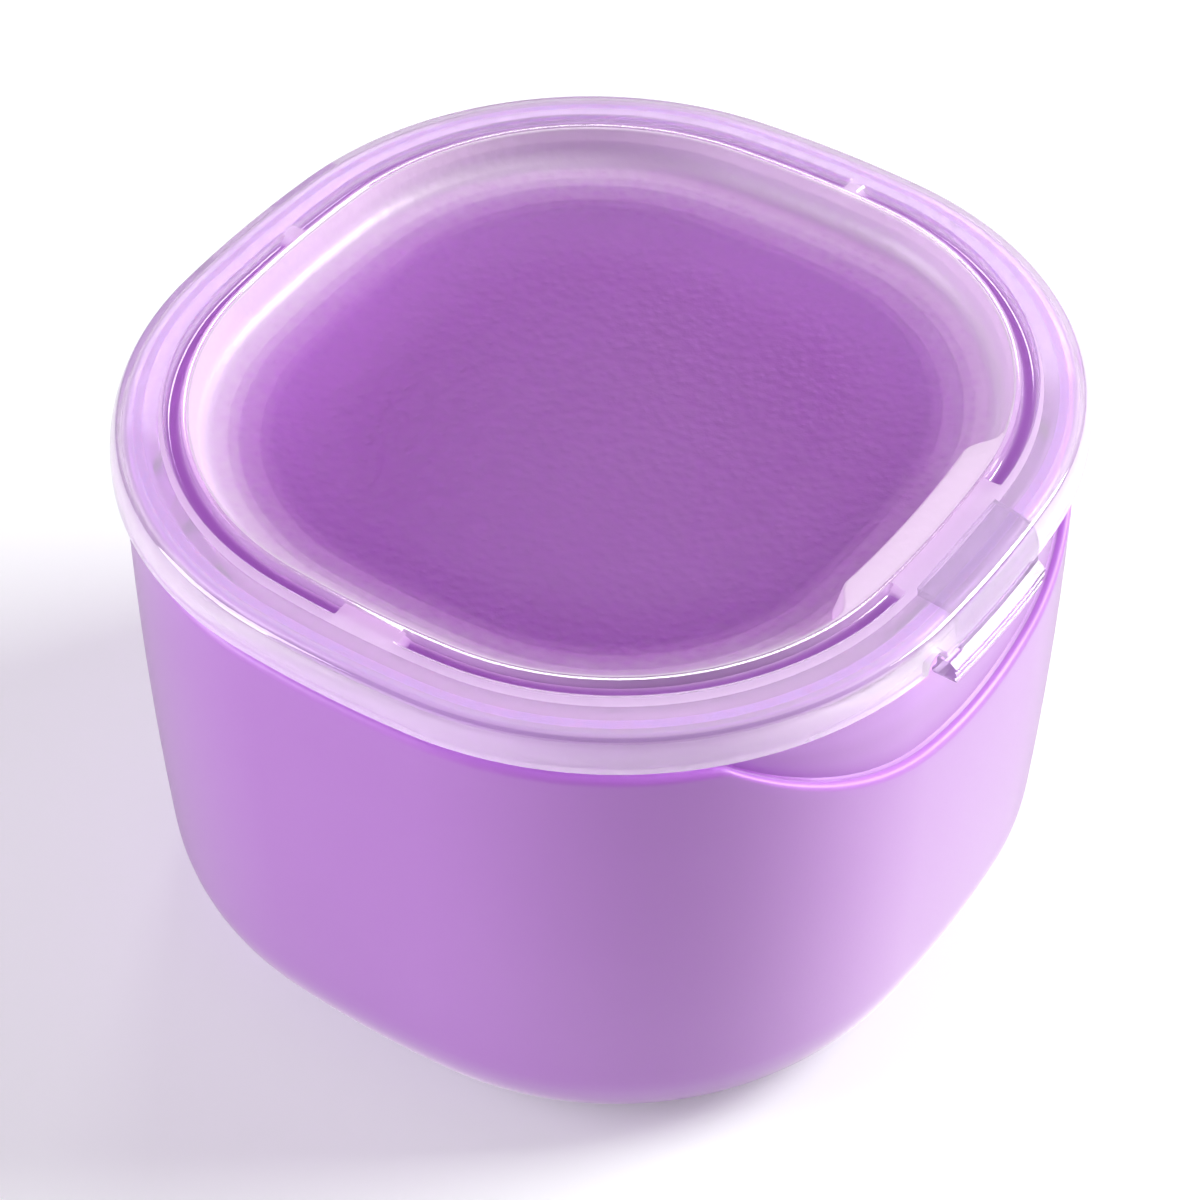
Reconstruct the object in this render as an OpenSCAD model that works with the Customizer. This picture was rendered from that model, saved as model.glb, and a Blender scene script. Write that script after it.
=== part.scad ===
// Denture case: a soaking cup, a strainer basket that lifts inside it, and a clear lid that
// turns on a rear pin and is held shut by a sprung tab at the front. Millimetres.
// Z = 0 is the cup's flat base, the tab is at -Y and the hinge at +Y.
// Every wall is a parallel inset of one outline, the lid's lower edge, made of eight tangent
// arcs. Sections are drawn with x = -inset, y = height, and are swept round that outline.

/* [Outline] */
// Radius of the outline's four corner arcs
corner_r = 39.65; // [38:0.05:42]
// How much larger the side arcs' radius is
side_more = 90; // [70:5:110]
// How much larger the front and back arcs' radius is
end_more = 100; // [70:5:120]

/* [Cup] */
// Height of the lid's lower edge above the base
rim_z = 59.5; // [50:0.1:70]
// Inset of the wall where it bulges most
bow_inset = 1.0; // [0.5:0.1:2]
// Radius of the wall's upright bow
bow_r = 553; // [300:1:900]
// Height of the widest part of the wall
bow_z = 44.6; // [30:0.1:55]
// Wall thickness
wall_t = 3.1; // [2:0.1:4]
// Floor thickness
floor_t = 2.4; // [1.5:0.1:4]
// Outside radius where the wall meets the base
foot_r = 12; // [6:0.5:16]
// Height of the outer shoulder under the lid
shoulder_z = 57.4; // [54:0.1:59]
// Roundness of the shoulder's edge
shoulder_r = 0.9; // [0.4:0.1:1.2]
// Inset of the neck that the lid closes over
neck_inset = 2.4; // [2:0.1:3]
// How far the neck rises into the lid
neck_rise = 2.6; // [2:0.1:2.8]

/* [Thumb scoop] */
// Radius of the scoop's edge, seen from the front
scoop_r = 47.2; // [35:0.1:60]
// Height of the scoop's lowest point
scoop_low_z = 44.5; // [38:0.1:52]

/* [Lid] */
// Height of the crowned band above the lid's lower edge
crown_h = 4.9; // [4:0.1:6]
// Radius of the band's crown
crown_r = 19; // [12:0.5:30]
// Inset of the crown's highest line
crown_inset = 7.2; // [6:0.1:9]
// Radius of the skirt's inward lean
skirt_r = 5.5; // [4:0.1:8]
// Straight part of the skirt
skirt_flat = 0.8; // [0.3:0.1:1.5]
// Roundness of the crease between skirt and band
crease_r = 0.8; // [0.3:0.1:1.5]
// Skirt thickness
skirt_t = 1.6; // [1:0.1:2]
// Height of the band's underside
band_under = 3.1; // [2.8:0.1:3.4]
// Inset where the clear band ends and the frosted panel starts
split_inset = 8.0; // [7.6:0.1:8.6]
// Inset of the groove in the band
groove_inset = 6.5; // [6.2:0.1:6.8]
// Groove width
groove_w = 1.7; // [1:0.1:2]
// Groove depth
groove_depth = 1.1; // [0.5:0.1:1.3]
// Where the groove stops short of the tab, on the left
groove_from = -9.2; // [-11:0.1:-8.6]
// Where it starts again on the right
groove_to = 8.5; // [7:0.1:10]

/* [Frosted panel] */
// Height of the panel's edge above the lid's lower edge
panel_h = 1.0; // [0.5:0.1:2]
// How far the middle of the panel dips below its edge
panel_sag = 1.3; // [0.5:0.1:2]
// Underside of the panel below the lid's lower edge
panel_under = 1.6; // [1:0.1:2]
// Radius at the foot of the recess wall
recess_r = 2.4; // [1:0.1:4]
// Inset of the plug that drops into the neck
plug_inset = 7.2; // [7:0.1:7.6]
// Roundness of the plug's lower edge
plug_r = 1.2; // [0.5:0.1:1.4]
// Length of the raised land behind the tab
land_len = 24; // [16:0.5:28]
// Inset of the land's inner edge
land_inset = 11; // [9:0.1:13]

/* [Tab and hinge] */
// Left end of the tab, where it is cut out of the band
tab_left = -8.3; // [-10:0.1:-6]
// Right end of the tab
tab_right = 6.5; // [5:0.1:9]
// Left end of the tab's lip, below the skirt
lip_left = -10.4; // [-12:0.1:-8.5]
// Inset of the line on the band's top where the tab starts
tab_inset = 5.4; // [5:0.1:5.5]
// Gap round the tab
tab_gap = 0.12; // [0.1:0.01:0.3]
// How far the tab's lip hangs below the lid's lower edge
tab_drop = 3.4; // [2.5:0.1:5]
// Gap between the skirt and the part of the lip that runs on under it
lip_gap = 0.6; // [0.55:0.05:0.9]
// How far the lip stands out
lip_out = 1.0; // [0.5:0.1:1.5]
// Radius of the relief notch at the left of the tab
notch_r = 1.5; // [1:0.1:2]
// Hinge axis, distance behind the middle
axis_y = 46.8; // [46.6:0.1:48]
// Hinge axis below the lid's lower edge
axis_drop = 3.6; // [3.4:0.1:4]
// Knuckle radius
knuckle_r = 1.8; // [1.6:0.1:2]
// Length of the lid's knuckle
knuckle_len = 9.6; // [6:0.1:12]
// Length of each of the cup's lugs
lug_len = 11.8; // [8:0.1:14]
// Pin radius
pin_r = 0.75; // [0.6:0.05:0.9]
// Running clearance round the pin
pin_gap = 0.06; // [0.02:0.01:0.1]

/* [Strainer basket] */
// Gap between the basket and the cup's wall
basket_gap = 1.3; // [1:0.1:3]
// Basket wall and floor thickness
basket_t = 1.6; // [1.2:0.1:2]
// Height of the basket's rim
basket_top = 50; // [40:0.5:52]
// Height of the feet that hold the floor up
basket_foot = 3.2; // [2:0.1:5]
// Diameter of the drain holes
hole_d = 3.6; // [2:0.1:5]
// Spacing of the drain holes
hole_pitch = 8.5; // [7:0.1:11]
// Width of the slots in the basket's wall
slot_w = 3; // [2:0.1:4]

/* [Part] */
// Which piece is drawn

/* [Hidden] */
$fn = 96;
purple = [0.73, 0.52, 0.86];
clear = [0.93, 0.88, 0.96, 0.5];
frosted = [0.84, 0.66, 0.9, 0.8];
ring_w = 26;
far = 60;
// Neighbouring arcs meet on the line through both their centres. Its direction is an exact
// fraction, so the sectors of a sweep share their seam planes to the last digit.
seam = [3116, 237] / 3125;
seam_across = [seam[1], seam[0]];
corner = [end_more, side_more] * seam[1];
side_c = corner - side_more * seam;
end_c = corner - end_more * seam_across;
side_r = corner_r + side_more;
end_r = corner_r + end_more;
half_w = side_c[0] + side_r;
half_d = end_c[1] + end_r;
bow_x = -bow_inset - bow_r;
axis_z = rim_z - axis_drop;
lug_x = knuckle_len / 2 + 0.4;
floor_x = half_w - ring_w + 1;
floor_y = half_d - ring_w + 1;

function wall_x(shift, z) = bow_x + sqrt(pow(bow_r - shift, 2) - pow(z - bow_z, 2));
function toward(a) = [cos(a), sin(a)];
// the point at distances ra from a and rb from b that lies to the right of a
function meet(a, ra, b, rb) =
    let (d = b - a, n = norm(d), k = (ra * ra - rb * rb + n * n) / (2 * n), h = sqrt(ra * ra - k * k))
    a + d * (k / n) + [d[1], -d[0]] * (h / n);

function arc(c, r, a, b, n = 10) = [for (i = [0:n]) c + r * toward(a + (b - a) * i / n)];

// Sweeps a section round the whole outline, one sector for each of its eight arcs.
module ring() {
    past = 60;
    out_p = corner + past * seam;
    out_q = corner + past * seam_across;
    for (mx = [0, 1], my = [0, 1])
        mirror([mx, 0, 0]) mirror([0, my, 0])
            sector(corner, corner_r, [corner, out_p, [70, 70], out_q]) children();
    for (mx = [0, 1])
        mirror([mx, 0, 0])
            sector(side_c, side_r, [side_c, out_p, [out_p[0], -out_p[1]]]) children();
    for (my = [0, 1])
        mirror([0, my, 0])
            sector(end_c, end_r, [end_c, out_q, [-out_q[0], out_q[1]]]) children();
}

// The section turned about c and kept inside a plan.
module sector(c, r, plan) {
    intersection() {
        translate(c) rotate_extrude() translate([r, 0]) children();
        translate([0, 0, -5]) linear_extrude(90) polygon(plan);
    }
}

// Sweeps a section along the middle of the front or the right side, half_l each way.
module front_arc(half_l) {
    mirror([0, 1, 0])
        sector(end_c, end_r, [[-half_l, 20], [half_l, 20], [half_l, far], [-half_l, far]]) children();
}
module side_arc(half_l) {
    sector(side_c, side_r, [[20, -half_l], [far, -half_l], [far, half_l], [20, half_l]]) children();
}

// Rounds one corner of a section: c is the rounding's centre, a and b the directions from c
// to the two points where it meets the straight or curved sides.
module rounded(c, r, a, b) {
    difference() {
        children();
        corner_wedge(c, a, b);
    }
    intersection() {
        translate(c) circle(r = r);
        corner_wedge(c, a, b);
    }
}

module corner_wedge(c, a, b) {
    polygon([c, c + far * toward(a), c + far * (toward(a) + toward(b)), c + far * toward(b)]);
}

module block(x0, x1, z0, z1) {
    translate([x0, z0]) square([x1 - x0, z1 - z0]);
}

// Everything inside the bowed wall, shift further in, above z0 and with a round foot.
module bowl_section(shift, z0, z1, r) {
    c = [bow_x + sqrt(pow(bow_r - shift - r, 2) - pow(bow_z - z0 - r, 2)), z0 + r];
    rounded(c, r, atan2(c[1] - bow_z, c[0] - bow_x), -90)
        intersection() {
            translate([bow_x, bow_z]) circle(r = bow_r - shift, $fn = 720);
            block(-ring_w, 5, z0, z1);
        }
}

module cup_section() {
    edge = [wall_x(0, shoulder_z - shoulder_r) - shoulder_r, shoulder_z - shoulder_r];
    difference() {
        union() {
            rounded(edge, shoulder_r, 0, 90) bowl_section(0, 0, shoulder_z, foot_r);
            block(-ring_w, -neck_inset, shoulder_z - 8, rim_z + neck_rise);
        }
        bowl_section(wall_t, floor_t, rim_z + far, foot_r - wall_t);
    }
}

// A bar along X with the given outline in Y and Z.
module bar(x0, x1) {
    translate([x0, 0, 0]) rotate([90, 0, 90]) linear_extrude(x1 - x0) children();
}

module across_bar(x0, x1, y, z, r) {
    translate([x0, y, z]) rotate([0, 90, 0]) cylinder(r = r, h = x1 - x0);
}

// Hinge lug, trimmed to follow the outline, with a gusset running down to the wall.
module lug() {
    low = [axis_y, axis_z] + knuckle_r * toward(-35);
    intersection() {
        union() {
            across_bar(lug_x, lug_x + lug_len, axis_y, axis_z, knuckle_r);
            bar(lug_x, lug_x + lug_len)
                polygon([[43.9, axis_z + 1.6], [43.9, low[1] - 6.8], [low[0] - 3.6, low[1] - 6.8],
                    low, [axis_y, axis_z], [axis_y + 0.6, axis_z + 1.6]]);
        }
        ring() block(-4, 1.3, axis_z - 12, shoulder_z + 1);
    }
}

module scoop() {
    intersection() {
        translate([0, -far, scoop_low_z + scoop_r]) rotate([-90, 0, 0])
            cylinder(r = scoop_r, h = far - 25);
        ring() block(-neck_inset, 5, scoop_low_z - 5, rim_z + 5);
    }
}

module cup() {
    color(purple)
    difference() {
        union() {
            ring() cup_section();
            translate([-floor_x, -floor_y, 0]) cube([2 * floor_x, 2 * floor_y, floor_t]);
            lug();
            mirror([1, 0, 0]) lug();
        }
        scoop();
        across_bar(-lug_x - 5.7, lug_x + 5.7, axis_y, axis_z, pin_r + pin_gap / 2);
        across_bar(-lug_x, lug_x, axis_y, axis_z, knuckle_r + 0.3);
        translate([-lug_x, axis_y - knuckle_r - 0.3, axis_z]) cube([2 * lug_x, 5, 5]);
    }
    color(purple) front_arc(8)
        translate([-neck_inset, rim_z - 1.2]) intersection() {
            circle(r = 0.6);
            block(-0.3, 1, -1, 1);
        }
}

module basket_section() {
    shift = wall_t + basket_gap;
    z0 = floor_t + basket_foot;
    difference() {
        union() {
            bowl_section(shift, z0, basket_top, foot_r - shift);
            translate([wall_x(shift, basket_top), basket_top - 0.8]) circle(r = 0.8);
        }
        bowl_section(shift + basket_t, z0 + basket_t, basket_top + far, foot_r - shift - basket_t);
    }
}

module slot(z0, z1) {
    rotate([90, 0, 0]) linear_extrude(2 * far, center = true) {
        for (z = [z0, z1]) translate([0, z]) circle(d = slot_w);
        block(-slot_w / 2, slot_w / 2, z0, z1);
    }
}

module basket() {
    z0 = floor_t + basket_foot;
    color(purple)
    difference() {
        union() {
            ring() basket_section();
            translate([-floor_x, -floor_y, z0]) cube([2 * floor_x, 2 * floor_y, basket_t]);
            for (x = [-2.5, 2.5] * hole_pitch, y = [-2.5, 2.5] * hole_pitch)
                translate([x, y, floor_t]) cylinder(r = 2.2, h = basket_foot + 0.5);
            for (mx = [0, 1]) mirror([mx, 0, 0]) side_arc(13) finger_section();
        }
        for (i = [-3:3], j = [-3:3])
            if (abs(i) + abs(j) < 6)
                translate([i * hole_pitch, j * hole_pitch, z0 - 1]) cylinder(d = hole_d, h = 4);
        for (i = [-2:2]) translate([i * 9, 0, 0]) slot(17, 40);
        for (i = [-2:2]) translate([0, i * 9, 0]) rotate([0, 0, 90]) slot(17, 40);
    }
}

// Grip that stands up from the basket's rim at each side.
module finger_section() {
    x = wall_x(wall_t + basket_gap, basket_top);
    translate([x - basket_t, basket_top - 3]) square([basket_t, 4.6]);
    translate([x - basket_t / 2, basket_top + 1.6]) circle(d = basket_t);
}

module seal_ring() {
    color([0.94, 0.93, 0.97]) ring()
        rounded([-3.3, rim_z + neck_rise + 0.38], 0.35, 180, -90)
            block(-3.65, -2.7, rim_z + neck_rise + 0.03, rim_z + band_under);
}

// Crowned band and leaning skirt, as one section.
module band_section() {
    lean_c = [-skirt_r, rim_z + skirt_flat];
    crown_c = [-crown_inset, rim_z + crown_h - crown_r];
    c = meet(crown_c, crown_r - crease_r, lean_c, skirt_r - crease_r);
    toe = atan2(c[1] - lean_c[1], c[0] - lean_c[0]);
    top = atan2(c[1] - crown_c[1], c[0] - crown_c[0]);
    under = rim_z + band_under;
    polygon(concat([[0, rim_z]], arc(lean_c, skirt_r, 0, toe), arc(c, crease_r, toe, top),
        arc(crown_c, crown_r, top, 90 + asin((split_inset - crown_inset) / crown_r)),
        [[-split_inset, under], [-skirt_t - 0.6, under], [-skirt_t, under - 0.6],
            [-skirt_t, rim_z]]));
}

// The outline at this inset, as points one way round.
function outline(inset) = [for (q = [0:3]) each quarter(q, inset)];
function quarter(q, inset) =
    let (
        turn = atan2(seam[1], seam[0]),
        pts = concat(arc(side_c, side_r - inset, 0.4, turn - 0.5, 4),
            arc(corner, corner_r - inset, turn + 3, 87 - turn, 18),
            arc(end_c, end_r - inset, 90.5 - turn, 89.6, 4)),
        flip = q % 2 == 1, sx = q == 1 || q == 2 ? -1 : 1, sy = q > 1 ? -1 : 1, n = len(pts))
    [for (i = [0:n - 1]) let (p = pts[flip ? n - 1 - i : i]) [p[0] * sx, p[1] * sy]];

module groove() {
    outer = outline(groove_inset - groove_w / 2);
    inner = outline(groove_inset + groove_w / 2);
    n = len(outer);
    difference() {
        translate([0, 0, rim_z + crown_h - groove_depth]) linear_extrude(3)
            polygon(concat(outer, inner), [[for (i = [0:n - 1]) i], [for (i = [0:n - 1]) n + i]]);
        translate([groove_from, -far, rim_z]) cube([groove_to - groove_from, far / 2, 10]);
        translate([-far, -5, rim_z]) cube([far / 2, 7, 10]);
        translate([far / 2, -5.5, rim_z]) cube([far / 2, 1.6, 10]);
        translate([0.4, far / 2, rim_z]) cube([1.6, far / 2, 10]);
    }
    for (x = [groove_from, groove_to]) {
        y = end_c[1] + sqrt(pow(end_r - groove_inset, 2) - x * x);
        translate([x, -y, rim_z + crown_h - groove_depth]) cylinder(d = groove_w + 0.3, h = 3);
    }
}

module lid_knuckle() {
    w = knuckle_len / 2;
    across_bar(-w, w, axis_y, axis_z, knuckle_r);
    bar(-w, w)
        polygon([[45.3, rim_z + 1.6], [45.3, rim_z - 0.6], [axis_y - knuckle_r + 0.1, axis_z + 0.5],
            [axis_y, axis_z], [axis_y + knuckle_r - 0.2, axis_z + 0.7], [46.9, rim_z - 0.4],
            [46.6, rim_z + 1.6]]);
}

module lid_band() {
    color(clear)
    difference() {
        union() {
            ring() band_section();
            lid_knuckle();
        }
        groove();
        across_bar(-far, far, axis_y, axis_z, pin_r + pin_gap);
        tab_cut(tab_gap);
        notch();
    }
}

// The space that the tab takes out of the band, grown by a gap.
module tab_cut(gap) {
    translate([tab_left - gap, -far, rim_z - 9])
        cube([tab_right - tab_left + 2 * gap, far - half_d + tab_inset + gap, 20]);
}

// Round relief in the skirt's edge beside the lip.
module notch() {
    translate([lip_left - 0.2 - notch_r, -far, rim_z]) {
        translate([0, 0, 0.3]) rotate([-90, 0, 0]) cylinder(r = notch_r, h = far - 44.5);
        translate([-notch_r, 0, -1]) cube([2 * notch_r, far - 44.5, 1.3]);
    }
}

// Frosted tray: recess wall, dished panel and the plug that centres the lid in the neck.
module panel_section() {
    edge_z = rim_z + panel_h;
    low_z = edge_z - panel_sag;
    lean = atan2(4.2, 1.2);
    foot_c = [-split_inset - 0.8 - recess_r * sin(lean), edge_z + recess_r];
    // the dish's arc is level in the middle and runs into the foot of the wall
    rise = panel_sag + recess_r;
    run = ring_w + foot_c[0];
    dish_r = (run * run + rise * rise - recess_r * recess_r) / (2 * (rise - recess_r));
    dish_c = [-ring_w, low_z + dish_r];
    join = atan2(foot_c[1] - dish_c[1], foot_c[0] - dish_c[0]);
    top_z = rim_z + crown_h - 0.1;
    wall_foot = foot_c + recess_r * toward(lean - 90);
    polygon(concat([[-ring_w, rim_z - panel_under]], arc(dish_c, dish_r, -90, join, 5),
        arc(foot_c, recess_r, join, lean - 90),
        [[wall_foot[0] + (top_z - wall_foot[1]) / tan(lean), top_z], [-split_inset, top_z],
            [-split_inset, rim_z + band_under], [-5.2, rim_z + band_under]],
        arc([-plug_inset - plug_r, rim_z - panel_under + plug_r], plug_r, 0, -90)));
}

module lid_panel() {
    color(frosted) {
        ring() panel_section();
        translate([-floor_x, -floor_y, rim_z - panel_under])
            cube([2 * floor_x, 2 * floor_y, panel_under + panel_h - panel_sag]);
        intersection() {
            ring() land_section();
            linear_extrude(80) land_plan();
        }
    }
}

module land_section() {
    edge = -split_inset - 0.4;
    top = rim_z + crown_h - 0.2;
    polygon([[edge, rim_z], [edge, top], [-land_inset, top], [-land_inset - 1.2, rim_z]]);
}

// The land's ends are cut at a slant, so that it runs out into the recess wall.
module land_plan() {
    x = land_len / 2;
    y = -half_d + split_inset;
    polygon([[-x - 3, y - 6], [x + 3, y - 6], [x + 3, y], [x - 1.5, y + 6], [1.5 - x, y + 6], [-x - 3, y]]);
}

// The tab is the band's own section between two cuts, with a lip that hangs below the skirt.
// Two ledges run along the lip, and a nose inside it catches the cup's bead.
module latch_tab() {
    low = rim_z - tab_drop;
    color(clear) {
        intersection() {
            front_arc(10) band_section();
            tab_cut(0);
        }
        intersection() {
            front_arc(10.5) translate([0, rim_z]) polygon([[-0.02, 1.2], [-0.02, 0.3], [0.1, -0.5],
                [lip_out - 0.1, -1.2], [lip_out, -1.4], [lip_out - 0.25, -1.6], [lip_out, -1.8],
                [lip_out, -2.2], [lip_out - 0.25, -2.4], [lip_out, -2.6],
                [lip_out - 0.1, 0.3 - tab_drop], [lip_out - 0.5, -tab_drop], [-0.8, -tab_drop],
                [-1.2, 0.4 - tab_drop], [-1.65, -2.7], [-1.65, -2.2], [-1.2, -1.8],
                [-1.2, 0.6], [-1.5, 1.2]]);
            rotate([90, 0, 0]) linear_extrude(far)
                polygon(concat([[tab_left, rim_z + 3], [tab_left, rim_z - lip_gap],
                    [lip_left, rim_z - lip_gap]], arc([lip_left + 1, low + 1], 1, 180, 270, 6),
                    arc([tab_right - 2.2, low + 2.2], 2.2, 270, 360, 8), [[tab_right, rim_z + 3]]));
        }
    }
}

module hinge_pin() {
    len = lug_x + 5.5;
    color([0.8, 0.8, 0.83]) across_bar(-len, len, axis_y, axis_z, pin_r);
}

cup();
basket();
seal_ring();
lid_band();
lid_panel();
latch_tab();
hinge_pin();
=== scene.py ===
import math

import bmesh
import bpy
from mathutils import Matrix, Vector


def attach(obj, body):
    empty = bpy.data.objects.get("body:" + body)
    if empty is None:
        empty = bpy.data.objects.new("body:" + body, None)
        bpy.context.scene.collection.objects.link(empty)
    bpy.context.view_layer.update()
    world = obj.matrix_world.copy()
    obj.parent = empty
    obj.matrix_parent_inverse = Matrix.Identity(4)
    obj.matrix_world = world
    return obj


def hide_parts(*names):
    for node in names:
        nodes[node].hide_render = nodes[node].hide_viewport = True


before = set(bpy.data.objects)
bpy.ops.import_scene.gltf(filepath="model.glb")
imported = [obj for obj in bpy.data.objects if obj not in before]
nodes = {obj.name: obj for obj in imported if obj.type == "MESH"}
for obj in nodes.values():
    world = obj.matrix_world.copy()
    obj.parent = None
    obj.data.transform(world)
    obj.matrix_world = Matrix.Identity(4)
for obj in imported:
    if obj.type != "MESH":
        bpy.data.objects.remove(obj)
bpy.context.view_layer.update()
print("frame loaded")


def srgb(r, g, b):
    # a colour read off the screen, 0-255, as the linear numbers that shaders take
    def one(c):
        c /= 255
        return c / 12.92 if c <= 0.04045 else ((c + 0.055) / 1.055) ** 2.4
    return (one(r), one(g), one(b), 1)


class Nodes:
    # a short way to wire the nodes of one tree
    def __init__(self, tree):
        self.tree = tree

    def add(self, kind, inputs=None, **settings):
        node = self.tree.nodes.new(kind)
        for key, value in settings.items():
            setattr(node, key, value)
        for key, value in (inputs or {}).items():
            socket = node.inputs[key]
            if isinstance(value, bpy.types.NodeSocket):
                self.tree.links.new(value, socket)
            else:
                socket.default_value = value
        return node

    def link(self, a, b):
        self.tree.links.new(a, b)


def newMaterial(name):
    material = bpy.data.materials.new(name)
    material.use_nodes = True
    material.node_tree.nodes.clear()
    kit = Nodes(material.node_tree)
    out = kit.add("ShaderNodeOutputMaterial")
    return material, kit, out


def newGroup(name, ins, outs):
    tree = bpy.data.node_groups.new(name, "ShaderNodeTree")
    for label, kind, value in ins:
        socket = tree.interface.new_socket(label, in_out="INPUT", socket_type=kind)
        if value is not None:
            socket.default_value = value
    for label, kind in outs:
        tree.interface.new_socket(label, in_out="OUTPUT", socket_type=kind)
    kit = Nodes(tree)
    return tree, kit, kit.add("NodeGroupInput"), kit.add("NodeGroupOutput")


def mouldedGrain():
    # fine moulded texture: a height from two noises, and a mottle for colour and roughness
    tree, kit, gin, gout = newGroup(
        "mouldedGrain",
        [("Size", "NodeSocketFloat", 0.6), ("Pits", "NodeSocketFloat", 0.4), ("Seed", "NodeSocketFloat", 0.0)],
        [("Height", "NodeSocketFloat"), ("Mottle", "NodeSocketFloat")])
    coords = kit.add("ShaderNodeTexCoord")
    perMetre = kit.add("ShaderNodeMath", {0: 1000.0, 1: gin.outputs["Size"]}, operation="DIVIDE")
    fine = kit.add("ShaderNodeTexNoise", {"Vector": coords.outputs["Object"], "Scale": perMetre.outputs[0],
                                         "Detail": 3.0, "Roughness": 0.55, "W": gin.outputs["Seed"]},
                   noise_dimensions="4D")
    pits = kit.add("ShaderNodeTexVoronoi", {"Vector": coords.outputs["Object"], "Scale": perMetre.outputs[0]},
                   feature="SMOOTH_F1")
    mixed = kit.add("ShaderNodeMix", {0: gin.outputs["Pits"], 2: fine.outputs["Fac"],
                                      3: pits.outputs["Distance"]})
    slow = kit.add("ShaderNodeTexNoise", {"Vector": coords.outputs["Object"], "Scale": 38.0, "Detail": 2.0})
    kit.link(mixed.outputs[0], gout.inputs["Height"])
    kit.link(slow.outputs["Fac"], gout.inputs["Mottle"])
    return tree


def edgeWear():
    # a mask that is 1 on rubbed outward edges, broken up by a noise
    tree, kit, gin, gout = newGroup(
        "edgeWear",
        [("Amount", "NodeSocketFloat", 0.5), ("Breakup", "NodeSocketFloat", 300.0)],
        [("Mask", "NodeSocketFloat")])
    geometry = kit.add("ShaderNodeNewGeometry")
    coords = kit.add("ShaderNodeTexCoord")
    noise = kit.add("ShaderNodeTexNoise", {"Vector": coords.outputs["Object"], "Scale": gin.outputs["Breakup"],
                                          "Detail": 4.0})
    sharp = kit.add("ShaderNodeMapRange", {"Value": geometry.outputs["Pointiness"], "From Min": 0.505,
                                          "From Max": 0.56})
    broken = kit.add("ShaderNodeMath", {0: sharp.outputs[0], 1: noise.outputs["Fac"]}, operation="MULTIPLY")
    scaled = kit.add("ShaderNodeMath", {0: broken.outputs[0], 1: gin.outputs["Amount"]}, operation="MULTIPLY",
                     use_clamp=True)
    kit.link(scaled.outputs[0], gout.inputs["Mask"])
    return tree


grainGroup = mouldedGrain()
wearGroup = edgeWear()
plasticIor = 1.49

lilac = {"colour": srgb(184, 101, 214), "pale": srgb(190, 112, 219), "shadeColour": srgb(160, 66, 190),
         "worn": srgb(226, 196, 240), "wear": 0.35, "pits": 0.3, "inner": 0.12, "innerDepth": 0.003,
         "roughness": 0.38, "sheen": 1.0, "sheenRoughness": 0.45, "sheenTint": srgb(252, 246, 252),
         "coat": 0.8, "coatRoughness": 0.5,
         "grainSize": 0.35, "grainDepth": 0.00002}


def opaquePlastic(name, look, seed):
    material, kit, out = newMaterial(name)
    grain = kit.add("ShaderNodeGroup", node_tree=grainGroup)
    grain.inputs["Size"].default_value = look["grainSize"]
    grain.inputs["Pits"].default_value = look["pits"]
    grain.inputs["Seed"].default_value = seed
    wear = kit.add("ShaderNodeGroup", node_tree=wearGroup)
    wear.inputs["Amount"].default_value = look["wear"]
    tint = kit.add("ShaderNodeMix", {0: grain.outputs["Mottle"], 6: look["colour"], 7: look["pale"]},
                   data_type="RGBA")
    # painted shade: the piece's own "shade" attribute marks where shade falls, such as the cup's scoop ledge, and
    # paints it a darker, more saturated purple
    shade = kit.add("ShaderNodeAttribute", attribute_name="shade")
    paintedShade = kit.add("ShaderNodeMix", {0: shade.outputs["Fac"], 6: tint.outputs[2], 7: look["shadeColour"]},
                     data_type="RGBA")
    worn = kit.add("ShaderNodeMix", {0: wear.outputs["Mask"], 6: paintedShade.outputs[2], 7: look["worn"]},
                   data_type="RGBA")
    rough = kit.add("ShaderNodeMapRange", {"Value": grain.outputs["Height"], "To Min": look["roughness"] - 0.05,
                                          "To Max": look["roughness"] + 0.09})
    bump = kit.add("ShaderNodeBump", {"Height": grain.outputs["Height"], "Strength": 0.5,
                                     "Distance": look["grainDepth"]})
    shader = kit.add("ShaderNodeBsdfPrincipled", {
        "Base Color": worn.outputs[2], "Roughness": rough.outputs[0], "Normal": bump.outputs[0],
        "IOR": plasticIor, "Subsurface Weight": look["inner"], "Subsurface Radius": (0.6, 0.35, 0.7),
        "Subsurface Scale": look["innerDepth"], "Sheen Weight": look["sheen"],
        "Sheen Roughness": look["sheenRoughness"], "Sheen Tint": look["sheenTint"],
        "Coat Weight": look["coat"], "Coat Roughness": look["coatRoughness"]})
    kit.link(shader.outputs[0], out.inputs["Surface"])
    return material


def letLampsThrough(kit, shader, out, tint):
    # lamps reach what lies behind the plastic, tinted, instead of leaving it in the dark
    passed = kit.add("ShaderNodeBsdfTransparent", {"Color": tint})
    rays = kit.add("ShaderNodeLightPath")
    both = kit.add("ShaderNodeMixShader", {0: rays.outputs["Is Shadow Ray"], 1: shader.outputs[0],
                                          2: passed.outputs[0]})
    kit.link(both.outputs[0], out.inputs["Surface"])


clearLook = {"colour": srgb(222, 207, 229), "skirt": srgb(246, 234, 249), "skirtTop": 0.0632,
             "skirtBlend": 0.0008, "shadeColour": srgb(116, 48, 144), "roughness": 0.05, "wornRoughness": 0.3,
             "clarity": 0.7, "coat": 1.0, "specular": 0.5, "wear": 0.6, "wearBreakup": 700.0,
             "flowStretch": (1, 1, 6), "flowScale": 45.0, "flowDepth": 0.0004,
             "lampTint": (0.9, 0.87, 0.93, 1)}


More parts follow.
